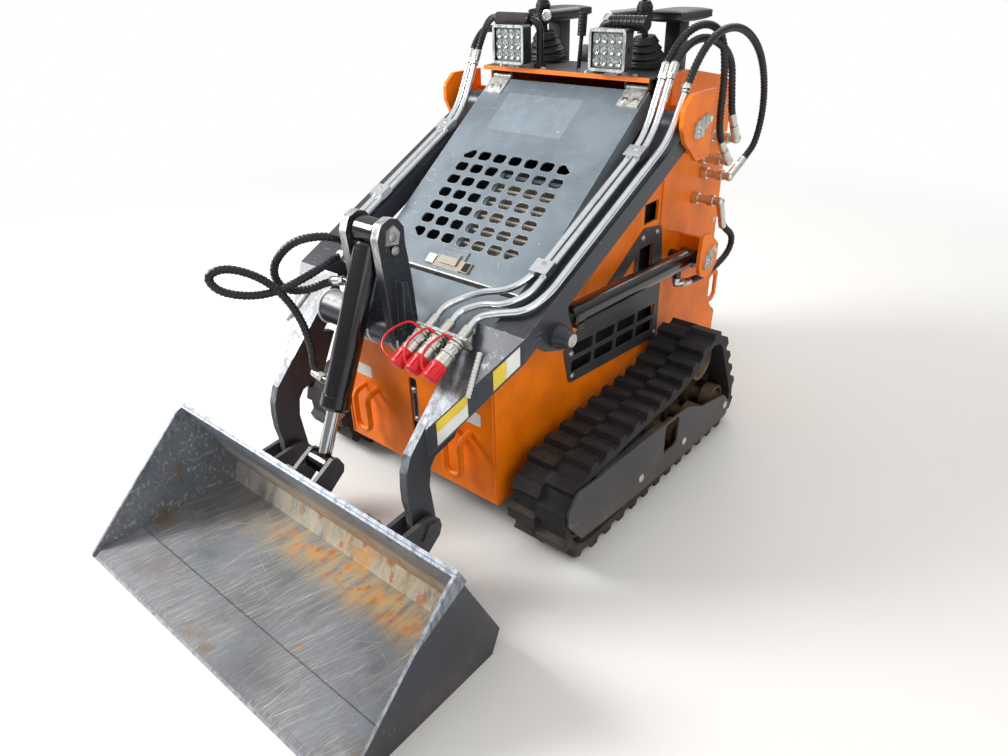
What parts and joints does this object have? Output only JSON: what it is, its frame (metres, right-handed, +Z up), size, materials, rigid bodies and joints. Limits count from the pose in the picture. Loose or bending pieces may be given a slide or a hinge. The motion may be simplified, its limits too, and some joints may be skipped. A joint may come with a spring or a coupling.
{
  "type": "skid steer loader",
  "caption": "Compact stand-on loader on rubber tracks with lift arms, hydraulic cylinders, a tilting bucket, sloping grille hood and a rear operator platform",
  "frame": {"origin": "centre of the machine's bounding box, on the ground", "axes": "+Z up, the bucket faces -Y, the machine's left side faces +X"},
  "size_m": [1.1, 2.3, 1.3316],
  "materials": {
    "orange_paint": "satin",
    "charcoal_paint": "satin",
    "hood_paint": "matte",
    "worn_steel": "worn",
    "bare_chrome": "polished",
    "zinc_steel": "zinc plated",
    "cast_engine": "cast",
    "track_rubber": "dusty",
    "hose_rubber": "matte",
    "grip_rubber": "matte",
    "pad_foam": "matte",
    "lamp_metal": "satin",
    "black_plastic": "matte",
    "wheel_steel": "dusty"
  },
  "bodies": {
    "chassis": {"side_panel_left": "orange_paint", "side_panel_right": "orange_paint", "pivot_bracket_left": "orange_paint", "pivot_bracket_right": "orange_paint", "front_panel": "orange_paint", "belly_plate": "charcoal_paint", "rear_wall": "orange_paint", "console_top": "charcoal_paint", "hood_lower_panel": "hood_paint", "engine_block": "cast_engine", "vent_plate_left": "charcoal_paint", "vent_plate_right": "charcoal_paint", "platform": "charcoal_paint", "thigh_pad": "pad_foam", "work_lights": "lamp_metal", "grip_bars": "grip_rubber", "hand_controls": "black_plastic", "armrests": "grip_rubber", "track_left": "track_rubber", "track_right": "track_rubber", "track_wheels_left": "wheel_steel", "track_wheels_right": "wheel_steel", "track_frame_left": "wheel_steel", "track_frame_right": "wheel_steel", "panel_fittings": "zinc_steel", "pivot_hoses_left": "hose_rubber", "pivot_hoses_right": "hose_rubber", "cylinder_hose_left": "hose_rubber", "cylinder_hose_right": "hose_rubber"},
    "hood": {"hood": "hood_paint"},
    "arms": {"arm_left": "charcoal_paint", "arm_right": "charcoal_paint", "cross_member": "charcoal_paint", "couplers": "zinc_steel", "arm_tubes": "bare_chrome", "tilt_hoses": "hose_rubber"},
    "lift_barrel_left": {"lift_barrel_left": "charcoal_paint"},
    "lift_barrel_right": {"lift_barrel_right": "charcoal_paint"},
    "lift_rod_left": {"lift_rod_left": "bare_chrome"},
    "lift_rod_right": {"lift_rod_right": "bare_chrome"},
    "tilt_barrel": {"tilt_barrel": "charcoal_paint"},
    "tilt_rod": {"tilt_rod": "bare_chrome"},
    "bucket_tool": {"bucket": "worn_steel", "attach_plate": "charcoal_paint"}
  },
  "joints": [
    {"name": "hood_lift", "type": "hinge", "parent": "chassis", "child": "hood", "pos_m": [0, 0.335, 1.12], "axis": [-1, 0, 0], "range_deg": [0, 55]},
    {"name": "arm_lift", "type": "hinge", "parent": "chassis", "child": "arms", "pos_m": [0, 0.34, 1.027], "axis": [-1, 0, 0], "range_deg": [0, 80], "deforming": ["pivot_hoses_left", "pivot_hoses_right", "cylinder_hose_left", "cylinder_hose_right"]},
    {"name": "bucket_tilt", "type": "hinge", "parent": "arms", "child": "bucket_tool", "pos_m": [0, -0.628, 0.2], "axis": [1, 0, 0], "range_deg": [-20, 65], "deforming": ["tilt_hoses"]},
    {"name": "lift_barrel_left_turn", "type": "hinge", "parent": "chassis", "child": "lift_barrel_left", "pos_m": [0.37, 0.503, 0.599], "axis": [-1, 0, 0], "range_deg": [0, 54]},
    {"name": "lift_rod_left_slide", "type": "slide", "parent": "lift_barrel_left", "child": "lift_rod_left", "axis": [0, -0.9985, 0.0539], "range_m": [0, 0.413]},
    {"name": "lift_barrel_right_turn", "type": "hinge", "parent": "chassis", "child": "lift_barrel_right", "pos_m": [-0.37, 0.503, 0.599], "axis": [-1, 0, 0], "range_deg": [0, 54]},
    {"name": "lift_rod_right_slide", "type": "slide", "parent": "lift_barrel_right", "child": "lift_rod_right", "axis": [0, -0.9985, 0.0539], "range_m": [0, 0.413]},
    {"name": "tilt_barrel_turn", "type": "hinge", "parent": "arms", "child": "tilt_barrel", "pos_m": [0, -0.466, 0.872], "axis": [1, 0, 0], "range_deg": [-2.1, 1]},
    {"name": "tilt_rod_slide", "type": "slide", "parent": "tilt_barrel", "child": "tilt_rod", "axis": [0, -0.4083, -0.9129], "range_m": [-0.05, 0.158]}
  ],
  "couplings": [
    {"joint": "lift_barrel_left_turn", "follows": "arm_lift", "ratio": 0.67},
    {"joint": "lift_rod_left_slide", "follows": "arm_lift", "m_per_rad": 0.295},
    {"joint": "lift_barrel_right_turn", "follows": "arm_lift", "ratio": 0.67},
    {"joint": "lift_rod_right_slide", "follows": "arm_lift", "m_per_rad": 0.295},
    {"joint": "tilt_barrel_turn", "follows": "bucket_tilt", "ratio": -0.03},
    {"joint": "tilt_rod_slide", "follows": "bucket_tilt", "m_per_rad": 0.138}
  ]
}
